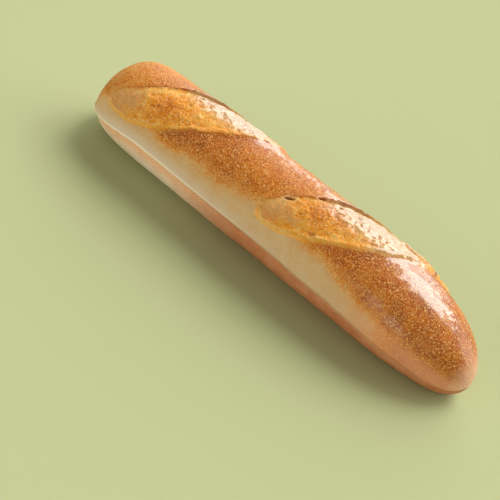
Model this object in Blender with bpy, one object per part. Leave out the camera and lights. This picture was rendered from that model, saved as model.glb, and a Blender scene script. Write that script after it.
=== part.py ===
"""Demi-baguette with three slashes, in metres, +Z up, lying on its flat spot with the crust on top.

X runs along the loaf and Y across it. The origin is the middle of the footprint, on the surface the
loaf lies on. The form is worked out in two steps. The smooth loaf comes first: a plan outline, a
crown line and a round section. Then the baked relief is raised along its normals: the slashes with
their ears, the torn crumb inside them, the seam along each side and the waviness of the crust.

Places on the crust are given as if it were unrolled: x along the loaf, w round it from the ridge,
with w negative on the -Y side.
"""

import math

import bmesh
import bpy
import numpy as np
from mathutils import Vector, noise

# The smooth loaf
LENGTH = 0.2615
WIDTH = 0.0562
HEIGHT = 0.0492  # of the crown before the ears and the torn crumb rise over it
TAPER = 0.015  # the +X end is this share fuller than the middle
FLOOR_CUT = 0.0021  # how much of the round underside the baking sheet flattened
SECTION_POWER = 2.1  # 2 is an ellipse, more is squarer
# Each end's own values, first the -X end's and then the +X end's
TIP_HEIGHT = (0.0115, 0.0130)
PLAN_BLUNTNESS = (12.0, 4.1)
CROWN_BLUNTNESS = (15.0, 3.5)
KEEL_BLUNTNESS = (12.0, 15.0)
CRUST_RADIUS = 0.0280  # turns an angle round the loaf into a length w

# The slashes: leaf shapes on the unrolled crust, each with its -X tip on the -Y side. The crust
# lifts into an ear along the far side of the leaf, and the near side is a low rim.
FIRST_SLASH = {
    "angle": math.radians(28.2),
    "half_length": 0.0560,
    "ear_width": 0.0160,
    "near_width": 0.0145,
    "near_power": 0.52,  # how bluntly the near side ends
    "near_lean": -0.60,  # under 0, the near side is fuller towards -X
    "spring": 0.0016,  # how full the torn crumb stands in the opening
    "ear": 0.0015,  # how high the ear lifts
}
SECOND_SLASH = {**FIRST_SLASH, "near_width": 0.0140, "near_power": 0.70, "near_lean": -0.25}
END_SLASH = {
    **FIRST_SLASH,
    "angle": math.radians(26),
    "half_length": 0.0260,
    "ear_width": 0.0065,
    "near_width": 0.0080,
    "ear": 0.0010,
}
SLASH_PITCH = 0.1025
FIRST_CENTRE = (-0.0697, -0.0048)
SLASHES = (
    (FIRST_CENTRE, FIRST_SLASH),
    ((FIRST_CENTRE[0] + SLASH_PITCH, FIRST_CENTRE[1]), SECOND_SLASH),
    ((0.0800, 0.0295), END_SLASH),
)
EAR_POWER = 0.66  # how bluntly the ear's side of the leaf ends
EAR_LEAN = 0.70  # that side is fuller towards +X
TIP_FADE = 0.30  # the relief grows from a tip over this share of the leaf's curve
TROUGH = 0.0007  # the torn crumb dips under the ear
TROUGH_SHARES = (0.80, 0.99)  # from here to here across the opening
SCOOP = 0.0014  # the crumb sinks towards the -X tip
SCOOP_REACH = (0.05, 0.75)
RIM_RISE = 0.0013  # the torn crumb stands proud of the crust along the near edge
RIM_REACH = 0.0015
EAR_START = 0.12  # height of the ear near the -X tip, as a share
EAR_GROWTH = (-0.6, 0.0)  # ear and trough grow between these two places along the slash
EAR_REACH = 0.0075  # how far back from its edge the crust lifts
EAR_WALL = 0.0014  # width of the step under the ear
JAG = 0.0009  # raggedness of the slash edges
JAG_SCALE = 0.0075
# The crags of the torn crumb
CRAG_RISE = 0.0006
CRAG_SCALE = 0.0042

# The seam where the domed crust meets the rounded base, on both sides
SEAM_X = (-0.122, -0.100, -0.088, 0.010, 0.050, 0.125)
SEAM_W = (0.0520, 0.0480, 0.0465, 0.0468, 0.0480, 0.0540)  # of the seam at each x
SEAM_STEP = (0.0015, 0.0002)  # at the -X end, at the +X end
SEAM_LIP = 0.0045  # how far up the side the lip fades
SEAM_GROOVE = 0.0065  # how far down the base the groove fades
SEAM_SHARPNESS = 0.0009

# The waviness of the crust
WAVE_RISE = 0.0006
WAVE_SCALE = 0.0280

SOLE_REACH = 0.0040  # the relief dies out over this height above the flat spot

# The mesh
AROUND = 260
ALONG = 520
MERGE_DISTANCE = 1e-5  # on the unit ball
TRIANGLES = 11500
OUTLINE_STEPS = 4000

CRUST_COLOUR = (0.50, 0.235, 0.085, 1.0)


def smoothstep(value, low, high):
    share = np.clip((value - low) / (high - low), 0.0, 1.0)
    return share * share * (3.0 - 2.0 * share)


def signed_power(value, power):
    return np.sign(value) * np.abs(value) ** power


def noise_at(points, scale, seed):
    """Smooth noise from -1 to 1 at each point, for bumps about scale across."""
    shift = Vector((seed * 7.31, seed * 3.17, seed * 5.53))
    return np.array([noise.noise(Vector(point) / scale + shift) for point in points])


def end_curve(u, bluntness):
    """1 along the loaf's middle, falling to 0 at the tips, u = -1 and u = 1."""
    power = np.where(u < 0.0, *bluntness)
    return np.sqrt(np.clip(1.0 - np.abs(u) ** power, 0.0, 1.0))


def even_stations(share):
    """The u of stations spread evenly over the plan outline, from share 0 at -X to share 1 at +X."""
    u = -np.cos(np.linspace(0.0, math.pi, OUTLINE_STEPS))
    steps = np.hypot(np.diff(u * LENGTH / 2), np.diff(end_curve(u, PLAN_BLUNTNESS) * WIDTH / 2))
    travelled = np.concatenate([[0.0], np.cumsum(steps)])
    return np.interp(share * travelled[-1], travelled, u)


def smooth_loaf(u, around):
    """Points of the smooth loaf: u along it, around from the -Y side (0) over the ridge (pi / 2)."""
    fullness = 1.0 + TAPER * u
    half_width = WIDTH / 2 * fullness * end_curve(u, PLAN_BLUNTNESS)
    tip = np.where(u < 0.0, *TIP_HEIGHT)
    crown = tip + (HEIGHT * fullness - tip) * end_curve(u, CROWN_BLUNTNESS)
    keel = tip - (tip + FLOOR_CUT) * end_curve(u, KEEL_BLUNTNESS)
    middle = (keel + crown) / 2
    y = -half_width * signed_power(np.cos(around), 2.0 / SECTION_POWER)
    z = middle + (crown - middle) * signed_power(np.sin(around), 2.0 / SECTION_POWER)
    return np.stack([u * LENGTH / 2, y, np.maximum(z, 0.0)], axis=1)


def slash_relief(x, w, jag, centre, slash):
    """Height that one slash adds to the crust, and how much of each point lies in its opening."""
    cos_a, sin_a = math.cos(slash["angle"]), math.sin(slash["angle"])
    along = ((x - centre[0]) * cos_a + (w - centre[1]) * sin_a) / slash["half_length"]
    across = (w - centre[1]) * cos_a - (x - centre[0]) * sin_a
    body = np.clip(1.0 - along * along, 0.0, 1.0)
    ear_edge = slash["ear_width"] * body**EAR_POWER * (1.0 + EAR_LEAN * along) + jag
    near_edge = slash["near_width"] * body ** slash["near_power"] * (1.0 + slash["near_lean"] * along) - jag
    past_ear = across - ear_edge
    past_near = -across - near_edge
    fade = smoothstep(body, 0.0, TIP_FADE)

    opening = smoothstep(-past_ear, 0.0, EAR_WALL)
    opening *= smoothstep(-past_near, -EAR_WALL / 2, EAR_WALL / 2)
    share = np.clip((across + near_edge) / np.maximum(ear_edge + near_edge, EAR_WALL), 0.0, 1.0)
    belly = np.sin(math.pi * share)
    grown = smoothstep(along, *EAR_GROWTH)
    crumb = slash["spring"] * belly - TROUGH * grown * smoothstep(share, *TROUGH_SHARES)
    crumb -= SCOOP * np.sqrt(belly) * smoothstep(-along, *SCOOP_REACH)
    rim = RIM_RISE * np.exp(-((past_near + RIM_REACH / 2) / RIM_REACH) ** 2)
    flap = slash["ear"] * np.exp(-np.maximum(past_ear, 0.0) / EAR_REACH)
    flap *= EAR_START + (1.0 - EAR_START) * grown
    flap = flap * (1.0 - opening) * (past_ear > -EAR_WALL)
    return fade * (opening * crumb + rim + flap), opening * fade


def seam_relief(x, w):
    """The lip of the domed crust over the groove above the base."""
    above = np.interp(x, SEAM_X, SEAM_W) - np.abs(w)
    step = np.interp(x, [-LENGTH / 2, LENGTH / 2], SEAM_STEP)
    lip = np.exp(-np.maximum(above, 0.0) / SEAM_LIP)
    groove = np.exp(np.minimum(above, 0.0) / SEAM_GROOVE)
    upper = smoothstep(above, -SEAM_SHARPNESS, SEAM_SHARPNESS)
    return step * (lip * upper - groove * (1.0 - upper))


def baked_relief(points, around):
    """Height of the baked surface over the smooth loaf."""
    x = points[:, 0]
    w = CRUST_RADIUS * (np.mod(around + math.pi / 2, 2 * math.pi) - math.pi)
    jag = JAG * noise_at(points, JAG_SCALE, 1)
    relief = WAVE_RISE * noise_at(points, WAVE_SCALE, 2) + seam_relief(x, w)
    torn = np.zeros(len(points))
    for centre, slash in SLASHES:
        height, opening = slash_relief(x, w, jag, centre, slash)
        relief += height
        torn = np.maximum(torn, opening)
    relief += torn * CRAG_RISE * noise_at(points, CRAG_SCALE, 3)
    return relief * smoothstep(points[:, 2], 0.0, SOLE_REACH)


def rolled_up(latitude, around):
    """A point of the unit ball whose poles are on X, from the two angles of a flat sheet."""
    spread = math.cos(latitude)
    return math.sin(latitude), -spread * math.cos(around), spread * math.sin(around)


def loaf_mesh():
    """The baked loaf as a closed mesh, finer than the solid needs."""
    form = bmesh.new()
    bmesh.ops.create_grid(form, x_segments=ALONG, y_segments=AROUND, size=math.pi / 2)
    for vert in form.verts:
        vert.co = rolled_up(vert.co.x, 2.0 * vert.co.y)
    bmesh.ops.remove_doubles(form, verts=form.verts, dist=MERGE_DISTANCE)
    ball = np.array([vert.co for vert in form.verts])
    share = np.arccos(np.clip(-ball[:, 0], -1.0, 1.0)) / math.pi
    around = np.arctan2(ball[:, 2], -ball[:, 1])
    smooth = smooth_loaf(even_stations(share), around)
    for vert, point in zip(form.verts, smooth):
        vert.co = point
    bmesh.ops.recalc_face_normals(form, faces=form.faces)
    form.normal_update()
    normals = np.array([vert.normal for vert in form.verts])
    baked = smooth + normals * baked_relief(smooth, around)[:, None]
    baked[:, 2] = np.maximum(baked[:, 2], 0.0)
    middle = (baked.min(axis=0) + baked.max(axis=0)) / 2
    middle[2] = 0.0
    for vert, point in zip(form.verts, baked - middle):
        vert.co = point
    mesh = bpy.data.meshes.new("loaf")
    form.to_mesh(mesh)
    form.free()
    mesh.shade_smooth()
    return mesh


def crust_material():
    material = bpy.data.materials.new("crust")
    material.use_nodes = True
    shader = material.node_tree.nodes["Principled BSDF"]
    shader.inputs["Base Color"].default_value = CRUST_COLOUR
    shader.inputs["Roughness"].default_value = 0.45
    shader.inputs["Metallic"].default_value = 0.0
    return material


def build():
    for obj in list(bpy.data.objects):
        bpy.data.objects.remove(obj)
    mesh = loaf_mesh()
    mesh.materials.append(crust_material())
    loaf = bpy.data.objects.new("loaf", mesh)
    bpy.context.scene.collection.objects.link(loaf)
    thin = loaf.modifiers.new("thin", "DECIMATE")
    thin.ratio = TRIANGLES / sum(len(face.vertices) - 2 for face in mesh.polygons)


build()
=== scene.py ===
"""A short baguette with a torn, blistered crust, dressed around its solid, and the stage it is seen on.

Lengths are in metres. Places on the crust are given as if it were unrolled: x along the loaf, w round
it from the ridge, with w negative on the -Y side.
"""

import math

import bmesh
import bpy
import numpy as np
from bpy.props import FloatProperty, FloatVectorProperty, PointerProperty
from mathutils import Matrix, Vector, noise


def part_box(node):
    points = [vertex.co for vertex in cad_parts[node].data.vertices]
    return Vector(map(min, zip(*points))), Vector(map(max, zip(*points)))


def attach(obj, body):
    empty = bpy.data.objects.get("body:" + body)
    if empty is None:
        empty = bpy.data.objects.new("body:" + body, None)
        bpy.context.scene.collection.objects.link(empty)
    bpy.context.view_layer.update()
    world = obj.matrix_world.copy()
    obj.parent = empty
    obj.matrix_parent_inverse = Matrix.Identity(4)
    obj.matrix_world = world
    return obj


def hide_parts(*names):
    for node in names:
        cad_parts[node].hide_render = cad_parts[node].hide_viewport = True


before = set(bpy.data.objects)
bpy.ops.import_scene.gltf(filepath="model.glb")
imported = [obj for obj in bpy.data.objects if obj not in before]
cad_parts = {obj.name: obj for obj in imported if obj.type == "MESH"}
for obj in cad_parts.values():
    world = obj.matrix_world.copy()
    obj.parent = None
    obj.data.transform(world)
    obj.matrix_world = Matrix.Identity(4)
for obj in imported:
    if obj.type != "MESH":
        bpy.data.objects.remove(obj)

bl_info = {
    "name": "Baguette",
    "version": (1, 0, 0),
    "blender": (4, 5, 0),
    "location": "View3D > Sidebar > Baguette",
    "description": "A scored loaf with a blistered crust and torn openings, on a plain stage",
    "category": "Add Mesh",
}

BOX_LOW, BOX_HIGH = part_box("loaf")
BOX_SIZE = BOX_HIGH - BOX_LOW
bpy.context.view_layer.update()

# The smooth loaf under the baked relief
RELIEF_ALLOWANCE = Vector((0.00096, 0.00175, 0.00216))  # what the relief adds to its size
TAPER = 0.015  # the +X end is this share fuller than the middle
FLOOR_CUT = 0.0021  # how much of the round underside the baking sheet flattens
SECTION_POWER = 2.1  # 2 is an ellipse, more is squarer
# Each end's own values, first the -X end's and then the +X end's
TIP_HEIGHT = (0.0115, 0.0130)
PLAN_BLUNTNESS = (12.0, 4.1)
CROWN_BLUNTNESS = (15.0, 3.5)
KEEL_BLUNTNESS = (12.0, 15.0)
CRUST_RADIUS = 0.0280  # turns an angle round the loaf into a length w

# The slashes: leaf shapes, each with its -X tip on the -Y side. The crust lifts into an ear along the
# far side of the leaf, and the torn crumb ends in a low rim along its near side.
FIRST_SLASH = {
    "angle": math.radians(28.2),
    "half_length": 0.0560,
    "ear_width": 0.0160,
    "near_width": 0.0145,
    "near_power": 0.52,
    "near_lean": -0.60,
    "spring": 0.0016,
    "ear": 0.0015,
    "spill": 0.0,  # how far the torn colour spreads past the near side
    "blunt": 1.0,  # where that colour ends towards -X, as a share of the half length
}
SECOND_SLASH = {
    **FIRST_SLASH,
    "near_width": 0.0140,
    "near_power": 0.70,
    "near_lean": -0.25,
    "spill": 0.0011,
    "blunt": 0.84,
}
END_SLASH = {
    **FIRST_SLASH,
    "angle": math.radians(26),
    "half_length": 0.0260,
    "ear_width": 0.0065,
    "near_width": 0.0080,
    "ear": 0.0010,
    "spill": 0.0028,
}
SLASH_PITCH = 0.1025
FIRST_CENTRE = (-0.0697, -0.0048)
SLASHES = (
    (FIRST_CENTRE, FIRST_SLASH),
    ((FIRST_CENTRE[0] + SLASH_PITCH, FIRST_CENTRE[1]), SECOND_SLASH),
    ((0.0800, 0.0295), END_SLASH),
)
EAR_POWER = 0.66
EAR_LEAN = 0.70
TIP_FADE = 0.30
TIP_ROUNDING = 0.0035  # of the corners of the torn colour
TIP_SPREAD = 0.000175  # and how far it spreads past its edges
TROUGH = 0.0007
TROUGH_SHARES = (0.80, 0.99)
SCOOP = 0.0014
SCOOP_REACH = (0.05, 0.75)
RIM_RISE = 0.0013
RIM_REACH = 0.0015
EAR_START = 0.12  # how high the ear stands at its -X tip, as a share
EAR_GROWTH = (-0.6, 0.0)
EAR_REACH = 0.0075
# The toast mark darkens the crust below each slash: partly real scorching, partly painted shade under
# the slash's raised rim
TOAST_REACH = 0.0055  # how far the crust below a slash is scorched
TOAST_START = -0.0010  # that scorch starts this far inside the slash
TOAST_GROWTH = (-0.62, -0.15)  # where it sets in along the slash
TOAST_FADE = (0.90, 0.50)  # and where it ends
EAR_WALL = 0.0014
JAG = 0.0009
JAG_SCALE = 0.0075
CRAG_RISE = 0.0006
CRAG_SCALE = 0.0042

# The seam where the domed crust meets the rounded base
SEAM_X = (-0.122, -0.100, -0.088, 0.010, 0.050, 0.125)  # the seam's way along the loaf
SEAM_W = (0.0520, 0.0480, 0.0465, 0.0468, 0.0480, 0.0540)
SEAM_STEP = (0.0015, 0.0002)
SEAM_LIP = 0.0045
SEAM_GROOVE = 0.0065
SEAM_SHARPNESS = 0.0009

WAVE_RISE = 0.0006
WAVE_SCALE = 0.0280
SOLE_REACH = 0.0040

# What the solid is too coarse to show
FINE_JAG = 0.00028
FINE_JAG_SCALE = 0.0018
TATTER = 0.0007  # ragged points along the ear's edge
TATTER_SCALE = 0.0016
TATTER_REACH = 0.0011
OVERHANG = 0.0005  # the ear leans over the opening by this much
OVERHANG_REACH = 0.0050
UNDERCUT = 0.0004  # and the crumb reaches this far back under it
UNDERCUT_REACH = 0.0040
LEAN_SHARES = (0.2, 0.6)  # both set in between these shares of the way across a slash
LUMP_RISE = 0.00020
LUMP_SCALE = 0.0085
RIPPLE_RISE = 0.00011
RIPPLE_SCALE = 0.0032
STRAND_RISE = 0.00034
STRAND_SCALE = (0.0090, 0.0030)  # along the slash, across it
STRAND_CREST = 0.35
STRAND_STEEPNESS = 1.6
GRIT_RISE = 0.00024
GRIT_SCALE = 0.0013
PIT_DEPTH = 0.00045
PIT_CELL = 0.0034
PIT_SIZE = 0.34  # of a cell
PIT_WALL = 0.7  # of that size, and the rest is the pit's floor
LEAST_TORN = 0.02  # crust that is torn less has none of these
CALM_TIP = (-0.30, -0.75)  # where the crumb's relief calms down towards -X along each slash
CALM_END = (0.0, 0.5)  # and towards +X
CALMED = (0.45, 0.40)  # by these shares
# The crumb's relief also sets painted light and shade on its colour: lighter where high, darker in
# hollows
CRAG_HOLLOW = 0.6  # how much the crags count as hollow or high
FULL_HOLLOW = 0.0009  # relief that counts in full
LUMPY_W = (0.040, 0.026)  # lumps stand lower on the sides than inside this w
LUMPY_SIDE = 0.25

# Where the crust turns from pale to brown, by w on each side
EDGE_X = (-0.125, -0.085, -0.045, -0.029, -0.018, -0.008, 0.024, 0.042, 0.065, 0.100)
EDGE_W = (0.0350, 0.0314, 0.0306, 0.0302, 0.0276, 0.0240, 0.0255, 0.0285, 0.0350, 0.0380)
EDGE_WAVES = ((0.0020, 0.0160, 10), (0.0012, 0.0045, 11))  # rise, scale and seed of that edge's waves
EDGE_BLEND = (-0.0095, 0.0070)
PALER_END = (-0.090, -0.112)  # the crown is a little paler past this x
PALER_SHARE = 0.22
BROWN_SIDES = ((0.055, 0.108, 0.80), (-0.120, -0.129, 0.45))  # sides: two x, and how brown they turn

# Burst bubbles: x, w, length, width, degrees that each turns from the loaf's length, and depth
PORES = (
    (0.003, -0.0135, 0.0075, 0.0022, 36, 0.0016),
    (0.0146, -0.001, 0.0052, 0.0019, 38, 0.0022),
    (0.02, 0.0052, 0.0024, 0.0015, 35, 0.0015),
    (0.0251, 0.0012, 0.0026, 0.0015, 20, 0.0012),
    (0.0251, -0.0222, 0.0064, 0.004, 28, 0.0008),
    (-0.0762, 0.0026, 0.0072, 0.0028, 30, 0.0008),
)
# Burst bubbles are painted darker the deeper they are, as painted shade inside them
DARK_PORE = 0.0014  # bubbles this deep are fully dark
RIMMED_PORE = 0.0010  # and deeper than this they have a pale rim
PORE_CUP = (1.0, 0.35)  # where their walls start and end, as shares of the oval's reach
PORE_RIM = 1.10
PORE_RIM_BLEND = (0.40, 0.05)

# Toasted (over 0) and pale (under 0) patches of the torn crumb: x, w, length, width, degrees, tone
PATCHES = (
    (-0.085, -0.017, 0.03, 0.017, 30, 1.0),
    (-0.103, -0.025, 0.028, 0.017, 35, -1.0),
    (0.02, -0.01, 0.036, 0.019, 30, 0.8),
    (0.001, -0.0235, 0.03, 0.015, 35, -1.0),
    (0.013, -0.022, 0.011, 0.007, 20, -0.7),
)

# Glazed (over 0) and dull (under 0) parts of the crown: x, w, length, width, degrees, tone. The same
# mark also lays a painted sheen colour on the torn crumb
GLAZED = (
    (0.0862, -0.002, 0.043, 0.026, -6, 0.95),
    (-0.02, 0.011, 0.13, 0.024, 0, 0.45),
    (0.0445, 0.0055, 0.072, 0.027, 10, 0.9),
    (-0.059, 0.008, 0.066, 0.025, 6, 0.85),
    (0.064, 0.001, 0.036, 0.009, 40, 0.9),
    (0.116, 0.005, 0.03, 0.032, 0, 0.3),
    (-0.11, -0.002, 0.05, 0.04, 0, -1.0),
)
OVAL_FADE = (1.3, 0.2)  # from none to all of the tone, as a share of the oval's reach

# The mesh
AROUND = 176
ALONG = 336
TOP_SHARE = 0.34  # how much denser the rows are over the crown than under the base
SLASH_MARGIN = 0.0016  # the finer faces reach this far past a slash
GATHER_REACH = 0.0050
GATHER = 0.45  # spacing of the rows at an ear's edge, as a share of the usual
MERGE_DISTANCE = 1e-5  # on the unit ball
OUTLINE_STEPS = 4000
MAP_SCALE = 10.0  # map units to the metre
EDGE_LIMIT = 30.0  # how far the marks in millimetres reach either way, from a slash's edges
SEAM_LIMIT = 20.0  # and from the seam


def smoothstep(value, low, high):
    share = np.clip((value - low) / (high - low), 0.0, 1.0)
    return share * share * (3.0 - 2.0 * share)


def rounded_maximum(first, second, rounding):
    """The larger of two values, passing softly from one to the other."""
    return (first + second + np.sqrt((first - second) ** 2 + rounding**2)) / 2


def signed_power(value, power):
    return np.sign(value) * np.abs(value) ** power


def noise_at(points, scale, seed):
    """Smooth noise from -1 to 1 at each point, for bumps about scale across."""
    shift = Vector((seed * 7.31, seed * 3.17, seed * 5.53))
    return np.array([noise.noise(Vector(point) / scale + shift) for point in points])


def cell_distance(points, cell):
    """Distance from each point to the nearest of scattered seeds, in cells."""
    return np.array([noise.voronoi(Vector(point) / cell)[0][0] for point in points])


def end_curve(u, bluntness):
    """1 along the loaf's middle, falling to 0 at the tips, u = -1 and u = 1."""
    power = np.where(u < 0.0, *bluntness)
    return np.sqrt(np.clip(1.0 - np.abs(u) ** power, 0.0, 1.0))


def even_stations(shape, share):
    """The u of stations spread evenly over the plan outline, from share 0 at -X to share 1 at +X."""
    u = -np.cos(np.linspace(0.0, math.pi, OUTLINE_STEPS))
    half_width = end_curve(u, PLAN_BLUNTNESS) * shape.width / 2
    steps = np.hypot(np.diff(u * shape.length / 2), np.diff(half_width))
    travelled = np.concatenate([[0.0], np.cumsum(steps)])
    return np.interp(share * travelled[-1], travelled, u)


def smooth_loaf(shape, u, around):
    """Points of the smooth loaf: u along it, around from the -Y side (0) over the ridge (pi / 2)."""
    fullness = 1.0 + TAPER * u
    half_width = shape.width / 2 * fullness * end_curve(u, PLAN_BLUNTNESS)
    tip = np.where(u < 0.0, *TIP_HEIGHT)
    crown = tip + (shape.height * fullness - tip) * end_curve(u, CROWN_BLUNTNESS)
    keel = tip - (tip + FLOOR_CUT) * end_curve(u, KEEL_BLUNTNESS)
    middle = (keel + crown) / 2
    y = -half_width * signed_power(np.cos(around), 2.0 / SECTION_POWER)
    z = middle + (crown - middle) * signed_power(np.sin(around), 2.0 / SECTION_POWER)
    return np.stack([u * shape.length / 2, y, np.maximum(z, 0.0)], axis=1)


class Opening:
    """One slash as it lies over the points x, w of the unrolled crust."""

    def __init__(self, x, w, jag, centre, slash):
        self.slash = slash
        self.cos, self.sin = math.cos(slash["angle"]), math.sin(slash["angle"])
        self.along = ((x - centre[0]) * self.cos + (w - centre[1]) * self.sin) / slash["half_length"]
        self.across = (w - centre[1]) * self.cos - (x - centre[0]) * self.sin
        body = np.clip(1.0 - self.along**2, 0.0, 1.0)
        self.ear_edge = slash["ear_width"] * body**EAR_POWER * (1.0 + EAR_LEAN * self.along) + jag
        near = slash["near_width"] * body ** slash["near_power"]
        self.near_edge = near * (1.0 + slash["near_lean"] * self.along) - jag
        self.past_ear = self.across - self.ear_edge
        self.past_near = -self.across - self.near_edge
        self.fade = smoothstep(body, 0.0, TIP_FADE)
        self.open = smoothstep(-self.past_ear, 0.0, EAR_WALL)
        self.open *= smoothstep(-self.past_near, -EAR_WALL / 2, EAR_WALL / 2)
        width = np.maximum(self.ear_edge + self.near_edge, EAR_WALL)
        self.share = np.clip((self.across + self.near_edge) / width, 0.0, 1.0)

    def torn(self):
        return self.open * self.fade

    def rim(self):
        return np.exp(-(((self.past_near + RIM_REACH / 2) / RIM_REACH) ** 2)) * self.fade

    def away(self):
        """Distance outside the opening, or under 0 inside it."""
        past_tip = (np.abs(self.along) - 1.0) * self.slash["half_length"]
        return np.maximum(np.maximum(self.past_ear, self.past_near), past_tip)

    def marks(self):
        """What the material reads: millimetres past each edge, and shares along and across."""
        past_tip = (-self.along - self.slash["blunt"]) * self.slash["half_length"]
        past_near = self.past_near - self.slash["spill"]
        past_near = rounded_maximum(past_near, past_tip, TIP_ROUNDING) - TIP_SPREAD
        return {
            "past_ear": in_millimetres(self.past_ear, EDGE_LIMIT),
            "past_near": in_millimetres(past_near, EDGE_LIMIT),
            "along": np.clip(self.along, -1.5, 1.5),
            "share": self.share,
            "slash": self.fade,
        }

    def covers(self):
        """True over the opening and a little round it."""
        inside = (self.past_ear < SLASH_MARGIN) & (self.past_near < SLASH_MARGIN)
        return inside & (np.abs(self.along) < 1.0)

    def lift(self):
        """Height that the slash adds to the crust."""
        belly = np.sin(math.pi * self.share)
        grown = smoothstep(self.along, *EAR_GROWTH)
        crumb = self.slash["spring"] * belly - TROUGH * grown * smoothstep(self.share, *TROUGH_SHARES)
        crumb -= SCOOP * np.sqrt(belly) * smoothstep(-self.along, *SCOOP_REACH)
        flap = self.slash["ear"] * np.exp(-np.maximum(self.past_ear, 0.0) / EAR_REACH)
        flap *= EAR_START + (1.0 - EAR_START) * grown
        flap = flap * (1.0 - self.open) * (self.past_ear > -EAR_WALL)
        return self.fade * (self.open * crumb + flap) + RIM_RISE * self.rim()

    def lean(self):
        """How far the surface moves across the slash: the ear over the opening, the crumb under it."""
        under = UNDERCUT * np.exp(np.minimum(self.past_ear + EAR_WALL, 0.0) / UNDERCUT_REACH)
        over = -OVERHANG * np.exp(-np.maximum(self.past_ear, 0.0) / OVERHANG_REACH)
        step = smoothstep(self.past_ear, -EAR_WALL, 0.0)
        grown = smoothstep(self.along, *EAR_GROWTH) * smoothstep(self.share, *LEAN_SHARES)
        return self.fade * (under * (1.0 - step) + over * step) * grown

    def gathering(self):
        """How far to slide a row of the sheet towards the ear's edge."""
        from_edge = self.past_ear + EAR_WALL / 2
        pull = smoothstep(np.abs(from_edge), 0.0, GATHER_REACH) - 1.0
        return from_edge * (1.0 - GATHER) * pull * self.fade


def in_millimetres(lengths, limit):
    return np.clip(lengths * 1000, -limit, limit)


def openings(x, w, jag):
    return [Opening(x, w, jag, centre, slash) for centre, slash in SLASHES]


def above_seam(x, w):
    return np.interp(x, SEAM_X, SEAM_W) - np.abs(w)


def seam_relief(shape, x, w):
    """The lip of the domed crust over the groove above the base."""
    above = above_seam(x, w)
    step = np.interp(x, [-shape.length / 2, shape.length / 2], SEAM_STEP)
    lip = np.exp(-np.maximum(above, 0.0) / SEAM_LIP)
    groove = np.exp(np.minimum(above, 0.0) / SEAM_GROOVE)
    upper = smoothstep(above, -SEAM_SHARPNESS, SEAM_SHARPNESS)
    return step * (lip * upper - groove * (1.0 - upper))


def oval_reach(x, w, oval):
    """0 at the middle of a turned oval on the unrolled crust, 1 at its edge."""
    centre_x, centre_w, length, width, degrees = oval
    turn = math.radians(degrees)
    along = (x - centre_x) * math.cos(turn) + (w - centre_w) * math.sin(turn)
    across = (w - centre_w) * math.cos(turn) - (x - centre_x) * math.sin(turn)
    return np.hypot(along / (length / 2), across / (width / 2))


def pore_depth(x, w):
    """Depth of the burst bubbles, how much painted shade each point gets from lying in one, more in
    deeper ones, and how much of it lies on the rim of one.
    """
    depth, inside, rim = np.zeros(len(x)), np.zeros(len(x)), np.zeros(len(x))
    for *oval, deep in PORES:
        reach = oval_reach(x, w, oval)
        cup = smoothstep(reach, *PORE_CUP)
        depth = np.maximum(depth, deep * cup)
        inside = np.maximum(inside, cup * min(1.0, (deep / DARK_PORE) ** 2))
        if deep > RIMMED_PORE:
            rim = np.maximum(rim, smoothstep(np.abs(reach - PORE_RIM), *PORE_RIM_BLEND))
    return depth, inside, rim


def patches(x, w, ovals):
    """Sum of soft ovals, each with its own tone, from -1 to 1."""
    total = np.zeros(len(x))
    for *oval, tone in ovals:
        total += tone * smoothstep(oval_reach(x, w, oval), *OVAL_FADE)
    return np.clip(total, -1.0, 1.0)


def spread_rows(around):
    """w of a row of the even sheet, with the rows denser over the crown."""
    angle = np.mod(around + math.pi / 2, 2 * math.pi) - math.pi
    turned = angle * (1.0 - TOP_SHARE + TOP_SHARE * (angle / math.pi) ** 2)
    return CRUST_RADIUS * turned


def rolled_up(latitude, around):
    """A point of the unit ball whose poles are on X, from the two angles of a flat sheet."""
    spread = math.cos(latitude)
    return math.sin(latitude), -spread * math.cos(around), spread * math.sin(around)


def unrolled_places(shape, share, around):
    """x and w of each point of the sheet."""
    return even_stations(shape, share) * shape.length / 2, spread_rows(around)


def crust_sheet(shape):
    """The unit ball as a closed mesh, with finer faces where the crust will tear."""
    form = bmesh.new()
    bmesh.ops.create_grid(form, x_segments=ALONG, y_segments=AROUND, size=math.pi / 2)
    middles = np.array([face.calc_center_median() for face in form.faces])
    x, w = unrolled_places(shape, middles[:, 0] / math.pi + 0.5, 2.0 * middles[:, 1])
    torn = np.any([slash.covers() for slash in openings(x, w, 0.0)], axis=0)
    edges = {edge for face, inside in zip(form.faces, torn) if inside for edge in face.edges}
    bmesh.ops.subdivide_edges(form, edges=list(edges), cuts=1, use_grid_fill=True)
    for vert in form.verts:
        vert.co = rolled_up(vert.co.x, 2.0 * vert.co.y)
    bmesh.ops.remove_doubles(form, verts=form.verts, dist=MERGE_DISTANCE)
    return form


def place_verts(form, points):
    for vert, point in zip(form.verts, points):
        vert.co = point


def crumb_relief(points, slash, torn):
    """Strands, grit and pits of the torn crumb, each as high as the point is torn."""
    relief = np.zeros(len(points))
    there = np.flatnonzero(torn > LEAST_TORN)
    along = slash.along[there]
    pulled = np.stack(
        [
            along * slash.slash["half_length"] / STRAND_SCALE[0],
            slash.across[there] / STRAND_SCALE[1],
            points[there, 2] / STRAND_SCALE[0],
        ],
        axis=1,
    )
    near = points[there]
    strands = STRAND_CREST - np.abs(noise_at(pulled, 1.0, 4)) * STRAND_STEEPNESS
    grit = noise_at(near, GRIT_SCALE, 5)
    pits = smoothstep(PIT_SIZE - cell_distance(near, PIT_CELL), 0.0, PIT_SIZE * PIT_WALL)
    calm = CALMED[0] * smoothstep(along, *CALM_TIP) + CALMED[1] * smoothstep(along, *CALM_END)
    relief[there] = (1.0 - calm) * (STRAND_RISE * strands + GRIT_RISE * grit - PIT_DEPTH * pits)
    return relief * torn


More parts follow.
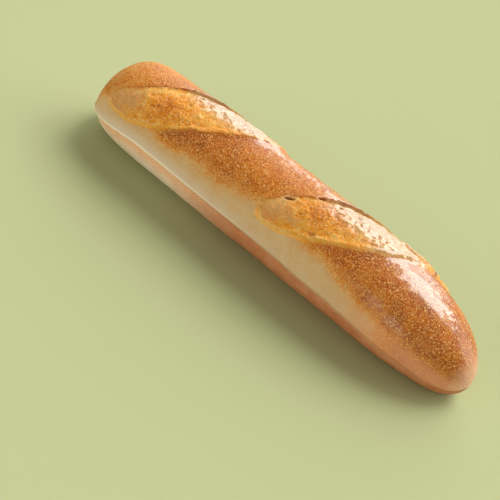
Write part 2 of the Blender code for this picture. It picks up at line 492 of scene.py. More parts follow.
def baked_form(shape, form):
    """Turns the sheet into the baked loaf. Returns x, w and the marks that the material reads."""
    ball = np.array([vert.co for vert in form.verts])
    share = np.arccos(np.clip(-ball[:, 0], -1.0, 1.0)) / math.pi
    x, w = unrolled_places(shape, share, np.arctan2(ball[:, 2], -ball[:, 1]))
    first = smooth_loaf(shape, x * 2 / shape.length, w / CRUST_RADIUS + math.pi / 2)
    jag = JAG * noise_at(first, JAG_SCALE, 1)
    for slash in openings(x, w, jag):
        slide = slash.gathering()
        x = x - slash.sin * slide
        w = w + slash.cos * slide
    u = np.clip(x * 2 / shape.length, -1.0, 1.0)
    smooth = smooth_loaf(shape, u, w / CRUST_RADIUS + math.pi / 2)
    place_verts(form, smooth)
    bmesh.ops.recalc_face_normals(form, faces=form.faces)
    form.normal_update()
    normals = np.array([vert.normal for vert in form.verts])

    jag = JAG * noise_at(smooth, JAG_SCALE, 1) + FINE_JAG * noise_at(smooth, FINE_JAG_SCALE, 6)
    relief = WAVE_RISE * noise_at(smooth, WAVE_SCALE, 2) + seam_relief(shape, x, w)
    torn, toast, hollow = np.zeros(len(x)), np.zeros(len(x)), np.zeros(len(x))
    lean = np.zeros((len(x), 3))
    ridge_way = np.cross(normals, (1.0, 0.0, 0.0))
    tatter = TATTER * np.maximum(noise_at(smooth, TATTER_SCALE, 7), 0.0)
    nearest = np.full(len(x), np.inf)
    marks = {}
    for slash in openings(x, w, jag):
        here = slash.torn()
        fine = crumb_relief(smooth, slash, here)
        hollow += fine
        relief += slash.lift() + fine
        edge = np.exp(-((slash.past_ear / TATTER_REACH) ** 2)) * slash.fade
        relief += tatter * edge * (1.0 - slash.open)
        across = slash.cos * ridge_way - slash.sin * np.array((1.0, 0.0, 0.0))
        lean += slash.lean()[:, None] * across
        torn = np.maximum(torn, here)
        # scorching below the slash, partly painted shade under its rim
        scorch_and_shade = np.exp(-np.maximum(slash.past_near, 0.0) / TOAST_REACH)
        scorch_and_shade *= slash.past_near > TOAST_START
        scorch_and_shade *= smoothstep(slash.along, *TOAST_GROWTH) * smoothstep(slash.along, *TOAST_FADE)
        toast = np.maximum(toast, scorch_and_shade)
        away = slash.away()
        for name, value in slash.marks().items():
            marks[name] = np.where(away < nearest, value, marks.get(name, 0.0))
        nearest = np.minimum(away, nearest)
    crags = torn * CRAG_RISE * noise_at(smooth, CRAG_SCALE, 3)
    relief += crags
    hollow += crags * CRAG_HOLLOW
    lumps = LUMP_RISE * noise_at(smooth, LUMP_SCALE, 8)
    lumps += RIPPLE_RISE * noise_at(smooth, RIPPLE_SCALE, 9)
    crusty = smoothstep(np.abs(w), *LUMPY_W) * (1.0 - torn)
    relief += lumps * (LUMPY_SIDE + (1.0 - LUMPY_SIDE) * crusty)
    depth, pore, pore_rim = pore_depth(x, w)
    relief -= depth
    on_floor = smoothstep(smooth[:, 2], 0.0, SOLE_REACH)[:, None]
    baked = smooth + (normals * relief[:, None] + lean) * on_floor
    baked[:, 2] = np.maximum(baked[:, 2], 0.0)
    place_verts(form, settled(baked))
    marks.update(
        toast=toast,
        # relief of the torn crumb, turned by the material into painted light on high points and painted
        # shade in hollows
        hollow=np.clip(hollow / FULL_HOLLOW, -1.0, 1.0),
        pore=pore,
        pore_rim=pore_rim,
        patch=patches(x, w, PATCHES),
        glaze=patches(x, w, GLAZED),
        bake=bake_degree(shape, x, w, smooth),
        above_seam=in_millimetres(above_seam(x, w), SEAM_LIMIT),
        along_loaf=x * 2 / shape.length,
    )
    return x, w, marks


def bake_degree(shape, x, w, points):
    """How brown the crust is, from 0 on the pale sides to 1 over the crown."""
    edge = np.interp(x, EDGE_X, EDGE_W)
    for rise, scale, seed in EDGE_WAVES:
        edge += rise * noise_at(points, scale, seed)
    crown = smoothstep(edge - np.abs(w), *EDGE_BLEND) * (1.0 - PALER_SHARE * smoothstep(x, *PALER_END))
    sides = sum(brown * smoothstep(x, start, end) for start, end, brown in BROWN_SIDES)
    return np.maximum(crown, sides)


def settled(points):
    """The points, moved and stretched a little so that they fill the solid's box."""
    low, high = points.min(axis=0), points.max(axis=0)
    share = (points - low) / (high - low)
    return np.array(BOX_LOW) + share * np.array(BOX_SIZE)


def write_marks(mesh, marks):
    for name, values in marks.items():
        mark = mesh.attributes.new(name, "FLOAT", "POINT")
        mark.data.foreach_set("value", values.astype(np.float32))


def write_map(mesh, x, w):
    """The unrolled crust as a UV map, whole across the line where the sheet closes."""
    corners = np.zeros(len(mesh.loops), dtype=np.int32)
    mesh.loops.foreach_get("vertex_index", corners)
    starts = np.zeros(len(mesh.polygons), dtype=np.int32)
    mesh.polygons.foreach_get("loop_start", starts)
    counts = np.diff(np.append(starts, len(corners)))
    corner_w = w[corners]
    span = np.maximum.reduceat(corner_w, starts) - np.minimum.reduceat(corner_w, starts)
    wraps = np.repeat(span > CRUST_RADIUS * math.pi, counts)
    corner_w = np.where(wraps & (corner_w < 0.0), corner_w + 2 * math.pi * CRUST_RADIUS, corner_w)
    flat = np.stack([x[corners], corner_w], axis=1) * MAP_SCALE
    mesh.uv_layers.new(name="unrolled").data.foreach_set("uv", flat.ravel().astype(np.float32))


# --- Materials ---

# Sizes of what the materials draw
BLOTCH_SIZE = 0.0070
CRUST_GRAIN = 0.0008
BLISTER_CELL = 0.0012
SMALL_BLISTER_CELL = 0.00075
BLISTER_SOFTNESS = 0.10  # of their edges, in cells
FACET_SIZE = 0.0030
CLOUD_SIZE = 0.0060
CRUMB_GRAIN = 0.0009
FLECK_CELL = 0.0011
RIM_CLOUD_SIZE = 0.0050
FRAY_SIZE = 0.0016
CHAR_SIZE = 0.0028
STREAK_SIZE = 0.0030
HAZE_SIZE = 0.0110
SOLE_BLOTCH_SIZE = 0.0090
WEAVE_CELL = 0.0016
FINE_GRAIN = 0.0005
# Heights of what they raise
BLISTER_HEIGHT = 0.00034
FACET_HEIGHT = 0.00024
CRUMB_HEIGHT = 0.00032
FLECK_HEIGHT = 0.00026
FINE_HEIGHT = 0.00007
FINE_HEIGHT_LOST = 0.00003  # where the crust is glazed
WEAVE_DEPTH = 0.00008

FLOOR_CLOUD_SCALE = 5.0
FLOOR_SHADE = 0.985


def fill_sockets(tree, node, sockets):
    """A socket given as another node's output is linked, and any other value is set."""
    for name, value in sockets.items():
        if isinstance(value, bpy.types.NodeSocket):
            tree.links.new(value, node.inputs[name])
        else:
            node.inputs[name].default_value = value


def add_node(tree, kind, sockets=None, **settings):
    """A new node, whose kind is its type's name after ShaderNode."""
    made = tree.nodes.new("ShaderNode" + kind)
    for name, value in settings.items():
        setattr(made, name, value)
    fill_sockets(tree, made, sockets or {})
    return made


def maths(tree, operation, first, second=0.0, clamp=False):
    node = add_node(tree, "Math", {0: first, 1: second}, operation=operation, use_clamp=clamp)
    return node.outputs[0]


def chained(tree, operation, values, clamp):
    result = values[0]
    for value in values[1:-1]:
        result = maths(tree, operation, result, value)
    return maths(tree, operation, result, values[-1], clamp)


def added(tree, *values, clamp=False):
    return chained(tree, "ADD", values, clamp)


def times(tree, *values, clamp=False):
    return chained(tree, "MULTIPLY", values, clamp)


def scaled(tree, value, by, plus):
    node = add_node(tree, "Math", {0: value, 1: by, 2: plus}, operation="MULTIPLY_ADD")
    return node.outputs[0]


def mixed(tree, factor, first, second):
    sockets = {"Factor": factor, 6: first, 7: second}
    return add_node(tree, "Mix", sockets, data_type="RGBA").outputs[2]


def tinted(tree, factor, colour, tint):
    """The colour with a plain tint mixed in. Either may be one of the settings' colours."""
    if not isinstance(colour, bpy.types.NodeSocket):
        colour = (*colour, 1.0)
    return mixed(tree, factor, colour, (*tint, 1.0))


def mixed_value(tree, factor, first, second):
    sockets = {"Factor": factor, 2: first, 3: second}
    return add_node(tree, "Mix", sockets, data_type="FLOAT").outputs[0]


def step_up(tree, value, low, high, to_low=0.0, to_high=1.0):
    """value turned from low..high into to_low..to_high, smoothly."""
    sockets = {"Value": value, 1: low, 2: high, 3: to_low, 4: to_high}
    return add_node(tree, "MapRange", sockets, interpolation_type="SMOOTHSTEP").outputs[0]


def mark(tree, name):
    return add_node(tree, "Attribute", attribute_name=name).outputs["Fac"]


def marks_of(tree, *names):
    return [mark(tree, name) for name in names]


def band(tree, value, centre, outer, inner):
    """1 within inner of the centre, falling to 0 at outer."""
    return step_up(tree, maths(tree, "ABSOLUTE", maths(tree, "SUBTRACT", value, centre)), outer, inner)


def colour_steps(tree, value, stops):
    ramp = add_node(tree, "ValToRGB", {"Fac": value})
    steps = ramp.color_ramp.elements
    while len(steps) < len(stops):
        steps.new(0.5)
    for step, (place, colour) in zip(steps, stops):
        step.position = place
        step.color = (*colour, 1.0)
    return ramp.outputs["Color"]


def new_group(name, inputs, outputs):
    """A node group that takes a Vector and the named numbers."""
    group = bpy.data.node_groups.new(name, "ShaderNodeTree")
    group.interface.new_socket("Vector", in_out="INPUT", socket_type="NodeSocketVector")
    for way, labels in (("INPUT", inputs), ("OUTPUT", outputs)):
        for label in labels:
            group.interface.new_socket(label, in_out=way, socket_type="NodeSocketFloat")
    return group, group.nodes.new("NodeGroupInput"), group.nodes.new("NodeGroupOutput")


def mottle_group():
    """Soft blotches about Size across, from -1 to 1."""
    group, start, end = new_group("mottle", ["Size", "Roughness", "Contrast"], ["Value"])
    scale = maths(group, "DIVIDE", 1.0, start.outputs["Size"])
    sockets = {"Vector": start.outputs["Vector"], "Scale": scale, "Detail": 4.0,
               "Roughness": start.outputs["Roughness"]}
    cloud = add_node(group, "TexNoise", sockets).outputs["Fac"]
    centred = times(group, maths(group, "SUBTRACT", cloud, 0.5), start.outputs["Contrast"])
    group.links.new(centred, end.inputs["Value"])
    return group


def blister_group():
    """Small blisters, one to a cell of that Size: how much of each point is one, and its height."""
    group, start, end = new_group("blisters", ["Size", "Cover"], ["Mask", "Height"])
    place = start.outputs["Vector"]
    scale = maths(group, "DIVIDE", 1.0, start.outputs["Size"])
    cells = add_node(group, "TexVoronoi", {"Vector": place, "Scale": scale})
    parts = add_node(group, "SeparateColor", {"Color": cells.outputs["Color"]})
    sockets = {"Vector": place, "Scale": times(group, scale, 1.9), "Detail": 1.0}
    cloud = add_node(group, "TexNoise", sockets).outputs["Fac"]
    ragged = times(group, maths(group, "SUBTRACT", cloud, 0.5), 0.8)
    radius = times(group, scaled(group, parts.outputs["Red"], 0.75, 0.25), start.outputs["Cover"])
    inside = maths(group, "SUBTRACT", radius, cells.outputs["Distance"])
    inside = maths(group, "SUBTRACT", inside, ragged)
    mask = step_up(group, inside, 0.0, BLISTER_SOFTNESS)
    mask = times(group, mask, scaled(group, parts.outputs["Green"], 0.6, 0.4))
    group.links.new(mask, end.inputs["Mask"])
    dome = maths(group, "SQRT", maths(group, "MAXIMUM", inside, 0.0))
    group.links.new(dome, end.inputs["Height"])
    return group


def use_group(tree, group, **sockets):
    return add_node(tree, "Group", sockets, node_tree=group)


def blotches_of(tree, mottle, place, size, contrast, roughness=0.6):
    sockets = {"Vector": place, "Size": size, "Contrast": contrast, "Roughness": roughness}
    return use_group(tree, mottle, **sockets).outputs["Value"]


def crust_colour(tree, colours, place, mottle, blisters):
    """Colour of the crust, from its pale sides to the toasted crown, with its blisters and their
    painted glints, darker below each slash partly as painted shade, a painted sheen low on the +X end
    and a painted glare on its tip.
    """
    blotches = blotches_of(tree, mottle, place, BLOTCH_SIZE, 2.6)
    grain = blotches_of(tree, mottle, place, CRUST_GRAIN, 3.2, 0.75)
    bake, above_seam, along_loaf = marks_of(tree, "bake", "above_seam", "along_loaf")
    toast, glaze = marks_of(tree, "toast", "glaze")
    uneven = added(tree, times(tree, blotches, 0.28), times(tree, grain, 0.42))
    # the toast mark adds to the degree: partly scorching, partly painted shade below each slash
    degree = added(
        tree,
        scaled(tree, bake, 0.56, 0.06),
        step_up(tree, along_loaf, 0.20, 0.75, 0.0, 0.07),
        times(tree, toast, 0.24),
        times(tree, maths(tree, "MAXIMUM", glaze, 0.0), 0.12),
        times(tree, uneven, step_up(tree, bake, 0.0, 0.6, 0.60, 1.0)),
        clamp=True,
    )
    stops = [(0.0, colours.side), (0.24, colours.side_gold), (0.45, colours.gold),
             (0.66, colours.brown), (1.0, colours.dark)]
    colour = colour_steps(tree, degree, stops)

    near_lip = times(
        tree,
        step_up(tree, above_seam, 10.0, 0.5),
        step_up(tree, bake, 0.5, 0.0),
        step_up(tree, along_loaf, 0.4, -0.7, 0.20, 1.0),
        scaled(tree, grain, 0.5, 0.9),
        clamp=True,
    )
    colour = tinted(tree, near_lip, colour, colours.side_lip)
    # painted sheen: a pinkish tan low on the side towards +X, standing in for a specular haze
    low_end = step_up(tree, along_loaf, 0.30, 0.85)
    low_end = times(tree, low_end, step_up(tree, above_seam, 20.0, 7.0), 0.65)
    colour = tinted(tree, low_end, colour, colours.tan)
    # painted glare: the +X tip paled
    end_glare = step_up(tree, along_loaf, 0.925, 1.0)
    end_glare = times(tree, end_glare, scaled(tree, grain, 0.5, 0.62), clamp=True)
    colour = tinted(tree, end_glare, colour, colours.end)

    holes = use_group(tree, blisters, Vector=place, Size=BLISTER_CELL, Cover=0.45)
    burnt = times(tree, holes.outputs["Mask"], 0.55, step_up(tree, bake, 0.3, 0.8))
    colour = tinted(tree, burnt, colour, colours.dark)
    # pale blisters, their colour partly painted glints off the glossy crust
    large = use_group(tree, blisters, Vector=place, Size=BLISTER_CELL, Cover=0.54)
    small = use_group(tree, blisters, Vector=place, Size=SMALL_BLISTER_CELL, Cover=0.60)
    shown = maths(tree, "MAXIMUM", large.outputs["Mask"], times(tree, small.outputs["Mask"], 0.75))
    patchy = step_up(tree, added(tree, blotches, grain), -0.8, 0.6, 0.50, 1.0)
    shown = times(tree, shown, step_up(tree, bake, 0.05, 0.50), patchy)
    height = added(tree, large.outputs["Height"], times(tree, small.outputs["Height"], 0.6))
    return tinted(tree, shown, colour, colours.blister_and_glint), height


def crumb_colour(tree, colours, place, mottle, blisters):
    """Colour of the torn crumb: toasted in patches, lighter where it stands high and darker in its
    hollows as painted light and shade, and paler where glazed as a painted sheen.
    """
    clouds = blotches_of(tree, mottle, place, CLOUD_SIZE, 2.4)
    grain = blotches_of(tree, mottle, place, CRUMB_GRAIN, 3.6, 0.75)
    patch, along, share, hollow = marks_of(tree, "patch", "along", "share", "hollow")
    tone = added(
        tree,
        scaled(tree, clouds, 0.27, 0.53),
        times(tree, grain, 0.62),
        # painted sheen: a little lighter towards +X along each slash
        step_up(tree, along, -0.1, 0.5, 0.0, 0.05),
        # painted light and shade: lighter where the crumb stands high, darker in its hollows
        times(tree, hollow, 0.30),
        step_up(tree, share, 0.70, 0.90, 0.0, 0.14),
    )
    toasted = times(tree, maths(tree, "MAXIMUM", patch, 0.0), 0.34)
    tone = maths(tree, "SUBTRACT", tone, toasted, clamp=True)
    stops = [(0.05, colours.crumb_toast), (0.40, colours.crumb_gold), (0.70, colours.crumb_light),
             (1.0, colours.crumb_cream)]
    colour = colour_steps(tree, tone, stops)
    flecks = use_group(tree, blisters, Vector=place, Size=FLECK_CELL, Cover=0.50)
    colour = tinted(tree, times(tree, flecks.outputs["Mask"], 0.80), colour, colours.crumb_cream)

    smooth = maths(tree, "MAXIMUM", times(tree, patch, -1.0), step_up(tree, along, -0.64, -0.84))
    smooth = times(tree, smooth, scaled(tree, grain, 0.90, 0.62), clamp=True)
    shade = added(tree, scaled(tree, clouds, 0.40, 0.45), times(tree, grain, 1.40), clamp=True)
    colour = mixed(tree, smooth, colour, tinted(tree, shade, colours.tip, colours.tip_shade))
    # painted sheen: where marked glazed, the crumb turns paler and pinker
    crumb_sheen = scaled(tree, grain, -0.35, 0.70)
    crumb_sheen = times(tree, mark(tree, "glaze"), crumb_sheen, clamp=True)
    return tinted(tree, crumb_sheen, colour, colours.crumb_sheen), grain, flecks.outputs["Height"]


def sole_colour(tree, colours, place, mottle):
    """Colour of the base, with the fine weave that the baking mat leaves."""
    unrolled = add_node(tree, "UVMap", uv_map="unrolled").outputs["UV"]
    sockets = {"Vector": unrolled, "Rotation": (0.0, 0.0, math.radians(45))}
    turned = add_node(tree, "Mapping", sockets).outputs["Vector"]
    sockets = {"Vector": turned, "Scale": 1.0 / (WEAVE_CELL * MAP_SCALE), "Randomness": 0.12}
    weave = add_node(tree, "TexVoronoi", sockets, voronoi_dimensions="2D")
    dots = step_up(tree, weave.outputs["Distance"], 0.20, 0.50)
    above_seam, along_loaf = marks_of(tree, "above_seam", "along_loaf")
    tone = scaled(tree, blotches_of(tree, mottle, place, SOLE_BLOTCH_SIZE, 2.4), 0.30, 0.04)
    # browner towards +X, so the -X end of the base stays lighter: painted bounce light from below
    tone = added(tree, tone, step_up(tree, along_loaf, -0.50, -0.05, 0.0, 0.80), clamp=True)
    # painted bounce light: the deep underside at the -X end lightened towards the lip colour
    bounce_lit_underside = step_up(tree, above_seam, -3.0, -10.0)
    bounce_lit_underside = times(tree, bounce_lit_underside, step_up(tree, along_loaf, 0.0, -0.6))
    colour = tinted(tree, bounce_lit_underside, colours.sole, colours.lip)
    colour = tinted(tree, tone, colour, colours.sole_brown)
    return tinted(tree, times(tree, dots, 0.30), colour, colours.sole_brown), dots


def new_material(name):
    material = bpy.data.materials.new(name)
    material.use_nodes = True
    tree = material.node_tree
    place = add_node(tree, "TexCoord").outputs["Object"]
    return material, tree, tree.nodes["Principled BSDF"], place


def crust_material(colours):
    """The whole baked surface: crust, torn crumb, ears and base, told apart by the mesh's marks."""
    material, tree, shader, place = new_material("baked_crust")
    mottle, blisters = mottle_group(), blister_group()
    crust, crust_blisters = crust_colour(tree, colours, place, mottle, blisters)
    crumb, grain, crumb_flecks = crumb_colour(tree, colours, place, mottle, blisters)
    base, weave = sole_colour(tree, colours, place, mottle)
    bake, glaze, along, along_loaf = marks_of(tree, "bake", "glaze", "along", "along_loaf")
    above_seam, past_ear, past_near = marks_of(tree, "above_seam", "past_ear", "past_near")

    # The torn crumb, inside frayed edges. Marks named past and above are in millimetres.
    frayed = blotches_of(tree, mottle, place, FRAY_SIZE, 1.3)
    past_ear, past_near = added(tree, past_ear, frayed), added(tree, past_near, frayed)
    slash = step_up(tree, mark(tree, "slash"), 0.02, 0.45)
    soft_ear = maths(tree, "DIVIDE", past_ear, step_up(tree, along, -0.35, -0.80, 1.0, 4.0))
    torn = times(tree, step_up(tree, soft_ear, 0.0, -0.5), step_up(tree, past_near, 0.3, -0.4), slash)
    colour = mixed(tree, torn, crust, crumb)

    # The low rim on the near side, with a painted highlight along its top, brightest early along each
    # slash, and a painted shade just outside it
    clouds = blotches_of(tree, mottle, place, RIM_CLOUD_SIZE, 3.2)
    early = step_up(tree, along, -0.10, -0.45)
    below_ear = step_up(tree, past_ear, -2.5, -7.5)
    rim_share = times(tree, slash, below_ear, step_up(tree, along, -0.2, 0.3, 1.0, 0.5))
    # painted shade: a dark band just outside the raised rim, taking the rim's own colour early along
    # the slash
    outer = times(tree, band(tree, past_near, 0.1, 1.5, 0.5), rim_share, 0.70)
    outer_colour = tinted(tree, early, colours.crumb_toast, colours.rim)
    colour = mixed(tree, outer, colour, outer_colour)
    patchy = step_up(tree, clouds, -0.6, 0.5, 0.45, 1.0)
    # painted highlight: a bright band along the top of the rim
    rim = times(tree, band(tree, past_near, -0.9, 1.3, 0.3), rim_share, patchy, 0.85)
    brighter = added(tree, scaled(tree, clouds, 0.9, 0.12), times(tree, early, 0.45), clamp=True)
    rim_colour = tinted(tree, brighter, colours.rim, colours.rim_highlight)
    colour = mixed(tree, rim, colour, rim_colour)

    # The edge of each ear, dark partly from scorching and partly as painted shade under the ear, and
    # the burst bubbles, painted darker with depth as shade
    char = times(
        tree,
        band(tree, past_ear, -0.15, 0.70, 0.15),
        slash,
        step_up(tree, along, -0.85, -0.30),
        step_up(tree, along, 0.0, 0.35, 1.0, 0.35),
        step_up(tree, blotches_of(tree, mottle, place, CHAR_SIZE, 3.2), -0.5, 0.4, 0.25, 0.9),
    )
    colour = tinted(tree, char, colour, colours.char)
    pore_rim = times(tree, mark(tree, "pore_rim"), scaled(tree, clouds, 0.5, 0.45), clamp=True)
    colour = tinted(tree, pore_rim, colour, colours.crumb_cream)
    # painted shade: burst bubbles darkened with their depth
    colour = tinted(tree, mark(tree, "pore"), colour, colours.char)

    # The base, and the lip and groove above it: a painted highlight along the lip and painted shade in
    # the groove
    softness = step_up(tree, along_loaf, -0.5, 0.5, 0.6, 3.5)
    sole = step_up(tree, maths(tree, "DIVIDE", above_seam, softness), 0.3, -1.0)
    colour = mixed(tree, sole, colour, base)
    sharp = step_up(tree, along_loaf, 0.1, -0.6)
    # painted highlight: a bright band where the lip's edge catches the light
    lip = times(tree, band(tree, above_seam, 1.3, 1.2, 0.4), sharp, 0.85)
    colour = tinted(tree, lip, colour, colours.lip)
    # painted shade: the groove under the lip darkened towards the brown base colour
    groove = times(tree, band(tree, above_seam, -0.7, 1.0, 0.2), sharp, 0.55)
    colour = tinted(tree, groove, colour, colours.sole_brown)

    # Gloss
    browned = times(tree, step_up(tree, bake, 0.25, 0.75), step_up(tree, sole, 1.0, 0.0))
    streaks = blotches_of(tree, mottle, place, STREAK_SIZE, 3.0)
    shiny = step_up(tree, added(tree, glaze, times(tree, streaks, 0.5)), 0.25, 0.65)
    haze = times(
        tree,
        step_up(tree, blotches_of(tree, mottle, place, HAZE_SIZE, 3.0), -0.6, 0.6, 0.02, 0.26),
        step_up(tree, glaze, -0.8, 0.0, 0.25, 1.0),
        step_up(tree, along_loaf, 0.25, 0.70, 0.5, 2.3),
    )
    well_browned = times(tree, step_up(tree, bake, 0.55, 1.0), browned)
    coated = maths(tree, "MAXIMUM", well_browned, times(tree, torn, 0.12))
    coat = times(tree, maths(tree, "MAXIMUM", haze, shiny), coated)

    # Fine relief
    facets = add_node(tree, "TexVoronoi", {"Vector": place, "Scale": 1 / FACET_SIZE})
    facets = times(tree, facets.outputs["Distance"], FACET_HEIGHT)
    height = added(tree, times(tree, crust_blisters, BLISTER_HEIGHT), facets)
    height = times(tree, height, scaled(tree, browned, 0.9, 0.1), scaled(tree, shiny, -0.45, 1.0))
    rough_crumb = added(tree, times(tree, grain, CRUMB_HEIGHT), times(tree, crumb_flecks, FLECK_HEIGHT))
    height = mixed_value(tree, torn, height, rough_crumb)
    fine = blotches_of(tree, mottle, place, FINE_GRAIN, 2.0)
    fine = times(tree, fine, scaled(tree, shiny, -FINE_HEIGHT_LOST, FINE_HEIGHT))
    woven = times(tree, weave, sole, WEAVE_DEPTH)
    height = maths(tree, "SUBTRACT", added(tree, height, fine), woven)
    bump = add_node(tree, "Bump", {"Height": height, "Strength": 1.0, "Distance": 1.0})
    looks = {
        "Base Color": colour,
        "Roughness": scaled(tree, browned, -0.16, 0.62),
        "Specular IOR Level": 0.20,
        "Coat Weight": coat,
        "Coat Roughness": 0.16,
        "Coat IOR": 1.65,
        "Normal": bump.outputs["Normal"],
    }
    fill_sockets(tree, shader, looks)
    return material


def floor_material(colour):
    material, tree, shader, place = new_material("painted_floor")
    sockets = {"Vector": place, "Scale": FLOOR_CLOUD_SCALE, "Detail": 2.0}
    clouds = add_node(tree, "TexNoise", sockets)
    darker = [part * FLOOR_SHADE for part in colour]
    painted = tinted(tree, clouds.outputs["Fac"], colour, darker)
    looks = {"Base Color": painted, "Roughness": 0.9, "Specular IOR Level": 0.1}
    fill_sockets(tree, shader, looks)
    return material


# --- Settings ---


def colour_property(name, description, value):
    return FloatVectorProperty(name=name, description=description, default=value, subtype="COLOR",
                               size=3, min=0.0, max=1.0)


def size_property(name, description, axis):
    return FloatProperty(name=name, description=description, unit="LENGTH",
                         default=BOX_SIZE[axis] - RELIEF_ALLOWANCE[axis])


def angle_property(name, description, degrees):
    return FloatProperty(name=name, description=description, default=math.radians(degrees),
                         subtype="ANGLE")


def strength_property(light, description, value):
    return FloatProperty(name=f"{light} light", description=f"Strength of {description}", default=value)


class BaguetteShape(bpy.types.PropertyGroup):
    length: size_property("Length", "Length of the smooth loaf", 0)
    width: size_property("Width", "Width of the smooth loaf", 1)
    height: size_property("Height", "Height of the crown before the ears rise over it", 2)


class BaguetteColours(bpy.types.PropertyGroup):
    side: colour_property("Pale side", "Crust that the heat hardly browned", (0.65, 0.465, 0.255))
    side_lip: colour_property("Palest side", "The greyer strip beside the base", (0.71, 0.59, 0.49))
    side_gold: colour_property("Golden side", "Where the side starts to brown", (0.62, 0.365, 0.15))
    # a painted sheen low on the +X end
    tan: colour_property("Tan", "The low side towards the +X end", (0.84, 0.36, 0.26))
    # a painted glare on the +X tip
    end: colour_property("Pale end", "The low rounded tip at the +X end", (1, 0.66, 0.52))
    gold: colour_property("Golden crust", "The lighter patches of the crown", (0.64, 0.222, 0.01))
    brown: colour_property("Brown crust", "The crown", (0.44, 0.108, 0.004))
    dark: colour_property("Dark crust", "The darkest patches, beside the slashes", (0.19, 0.038, 0.005))
    # partly the blisters' own paleness, partly painted glints
    blister_and_glint: colour_property("Blisters", "The fine pale blisters", (0.96, 0.52, 0.155))
    crumb_toast: colour_property("Toasted crumb", "Torn crumb at its darkest", (0.62, 0.18, 0.012))
    crumb_gold: colour_property("Golden crumb", "Torn crumb", (1, 0.35, 0.018))
    crumb_light: colour_property("Light crumb", "Torn crumb at its lightest", (1, 0.54, 0.08))
    crumb_cream: colour_property("Cream crumb", "Stretched skins and flecks in it", (1, 0.78, 0.4))
    # a painted sheen on the torn crumb where it is marked glazed
    crumb_sheen: colour_property("Stretched crumb", "The pale skin along each slash", (0.5, 0.325, 0.2))
    tip: colour_property("Slash tip", "Smooth crumb at the start of each slash", (0.92, 0.6, 0.32))
    tip_shade: colour_property("Slash tip shade", "The duller patches there", (0.6, 0.29, 0.09))
    rim: colour_property("Rim", "The low rim on the near side of each slash", (0.96, 0.44, 0.05))
    # a painted highlight on the rim's lit upper slope
    rim_highlight: colour_property("Bright rim", "Thin bright skin along that rim", (1, 0.7, 0.26))
    # partly scorching, partly painted shade: under the ears and inside the burst bubbles
    char: colour_property("Char", "Scorched ear edges and burst bubbles", (0.36, 0.072, 0.014))
    # Lip: a painted highlight along the lip's edge, and painted bounce light on the -X underside
    lip: colour_property("Lip", "The thin edge where the side meets the base", (1.0, 0.88, 0.72))
    sole: colour_property("Base", "The rounded base", (1, 0.64, 0.38))
    sole_brown: colour_property("Brown base", "The browner patches of the base", (0.52, 0.17, 0.065))
    floor: colour_property("Floor", "The painted floor", (0.42, 0.465, 0.255))


class BaguetteStage(bpy.types.PropertyGroup):
    azimuth: angle_property("Azimuth", "The camera's turn round the loaf, from -Y", 24.1)
    elevation: angle_property("Elevation", "The camera's angle above the floor", 38.6)
    roll: angle_property("Roll", "The camera's turn about its own line of sight", 23.55)
    distance: FloatProperty(name="Distance", description="From the camera to the point it looks at",
                            default=0.75, unit="LENGTH")
    target: FloatVectorProperty(name="Target", description="The point that the camera looks at",
                                default=(0.005, -0.0371, 0.022), subtype="TRANSLATION", unit="LENGTH")
    lens: FloatProperty(name="Lens", description="Focal length in millimetres on a 36 mm sensor",
                        default=104.8)
    key: strength_property("Key", "the large light behind the loaf", 2.35)
    sheen: strength_property("Sheen", "the low light that glances off the crust", 1.6)
    end: strength_property("End", "the low light off the +X end", 1.5)
    fill: strength_property("Fill", "the light from the camera's side", 1.55)
    surround: FloatProperty(name="Surround", description="Strength of the even light from all round",
                            default=0.36)


class BaguetteSettings(bpy.types.PropertyGroup):
    shape: PointerProperty(type=BaguetteShape)
    colours: PointerProperty(type=BaguetteColours)
    stage: PointerProperty(type=BaguetteStage)


# --- Operators ---


def add_object(name, data):
    made = bpy.data.objects.new(name, data)
    bpy.context.scene.collection.objects.link(made)
    return made


class BAGUETTE_OT_loaf(bpy.types.Operator):
    """Makes the baked loaf: crown, ears, torn crumb, sides and base in one closed mesh"""

    bl_idname = "baguette.loaf"
    bl_label = "Loaf"

    def execute(self, context):
        settings = context.scene.baguette
        form = crust_sheet(settings.shape)
        x, w, marks = baked_form(settings.shape, form)
        mesh = bpy.data.meshes.new("baked_loaf")
        form.to_mesh(mesh)
        form.free()
        mesh.shade_smooth()
        write_marks(mesh, marks)
        write_map(mesh, x, w)
        mesh.materials.append(crust_material(settings.colours))
        loaf = add_object("baked_loaf", mesh)
        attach(loaf, "root")
        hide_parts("loaf")
        return {"FINISHED"}


FLOOR_SIZE = 6.0
FLOOR_DROP = 0.0001
# Each light's name, the direction that it comes from, its size in degrees and its colour
LIGHTS = (
    ("key", (0.14, 0.62, 0.77), 37, (1.0, 0.97, 0.93)),
    ("sheen", (-0.31, 0.88, 0.33), 50, (1.0, 0.97, 0.95)),
    ("end", (0.61, 0.67, 0.41), 50, (1.0, 0.95, 0.90)),
    ("fill", (-0.25, -0.95, 0.14), 60, (1.0, 0.92, 0.82)),
)
SURROUND_COLOUR = (1.0, 0.92, 0.77, 1.0)
SENSOR_WIDTH = 36.0


def add_light(name, strength, direction, degrees, colour):
    data = bpy.data.lights.new(name, "SUN")
    data.energy = strength
    data.angle = math.radians(degrees)
    data.color = colour
    light = add_object(name, data)
    light.rotation_euler = direction.to_track_quat("Z", "Y").to_euler()
    light.location = direction.normalized()


def add_camera(stage):
    a, e, r = stage.azimuth, stage.elevation, stage.roll
    back = Vector((math.sin(a) * math.cos(e), -math.cos(a) * math.cos(e), math.sin(e)))
    right = Vector((math.cos(a), math.sin(a), 0.0))
    up = back.cross(right)
    rolled_right = right * math.cos(r) + up * math.sin(r)
    rolled_up_way = up * math.cos(r) - right * math.sin(r)
    data = bpy.data.cameras.new("camera")
    data.lens = stage.lens
    data.sensor_width = SENSOR_WIDTH
    camera = add_object("camera", data)
    turn = Matrix((rolled_right, rolled_up_way, back)).transposed().to_4x4()
    camera.matrix_world = Matrix.Translation(Vector(stage.target) + back * stage.distance) @ turn
    bpy.context.scene.camera = camera


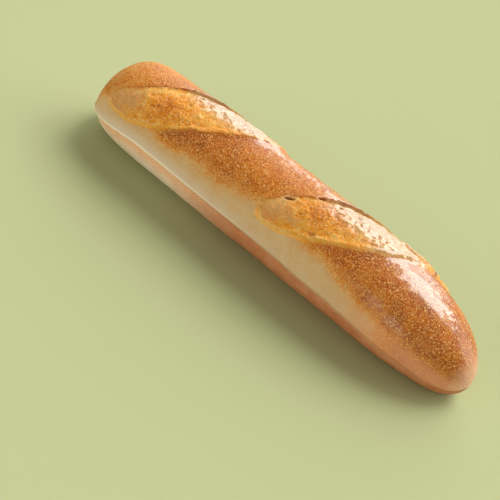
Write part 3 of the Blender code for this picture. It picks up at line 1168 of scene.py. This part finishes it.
def add_surround(scene, strength):
    world = bpy.data.worlds.new("surround")
    world.use_nodes = True
    scene.world = world
    background = world.node_tree.nodes["Background"]
    background.inputs["Color"].default_value = SURROUND_COLOUR
    background.inputs["Strength"].default_value = strength


class BAGUETTE_OT_stage(bpy.types.Operator):
    """Makes the plain floor, the soft lights, the surround and the camera"""

    bl_idname = "baguette.stage"
    bl_label = "Stage"

    def execute(self, context):
        settings = context.scene.baguette
        stage = settings.stage
        sheet = bmesh.new()
        bmesh.ops.create_grid(sheet, x_segments=1, y_segments=1, size=FLOOR_SIZE / 2)
        bmesh.ops.translate(sheet, verts=sheet.verts, vec=(0.0, 0.0, -FLOOR_DROP))
        mesh = bpy.data.meshes.new("floor")
        sheet.to_mesh(mesh)
        sheet.free()
        mesh.materials.append(floor_material(settings.colours.floor))
        add_object("floor", mesh)
        for name, direction, degrees, colour in LIGHTS:
            add_light(name, getattr(stage, name), Vector(direction), degrees, colour)
        add_surround(context.scene, stage.surround)
        add_camera(stage)
        context.scene.view_settings.view_transform = "Standard"
        return {"FINISHED"}


class BAGUETTE_PT_panel(bpy.types.Panel):
    """Lists what the loaf and its stage are made with"""

    bl_idname = "BAGUETTE_PT_panel"
    bl_label = "Baguette"
    bl_space_type = "VIEW_3D"
    bl_region_type = "UI"
    bl_category = "Baguette"

    def draw(self, context):
        settings = context.scene.baguette
        for group in (settings.shape, settings.colours, settings.stage):
            box = self.layout.box()
            for name in group.__annotations__:
                box.prop(group, name)
        for operator in OPERATORS:
            self.layout.operator(operator.bl_idname)


OPERATORS = (BAGUETTE_OT_loaf, BAGUETTE_OT_stage)
SETTINGS = (BaguetteShape, BaguetteColours, BaguetteStage, BaguetteSettings)
CLASSES = (*SETTINGS, *OPERATORS, BAGUETTE_PT_panel)


def register():
    for cls in CLASSES:
        bpy.utils.register_class(cls)
    bpy.types.Scene.baguette = PointerProperty(type=BaguetteSettings)


def unregister():
    del bpy.types.Scene.baguette
    for cls in reversed(CLASSES):
        bpy.utils.unregister_class(cls)


def main():
    register()
    bpy.ops.baguette.loaf()
    bpy.ops.baguette.stage()


if __name__ == "__main__":
    main()
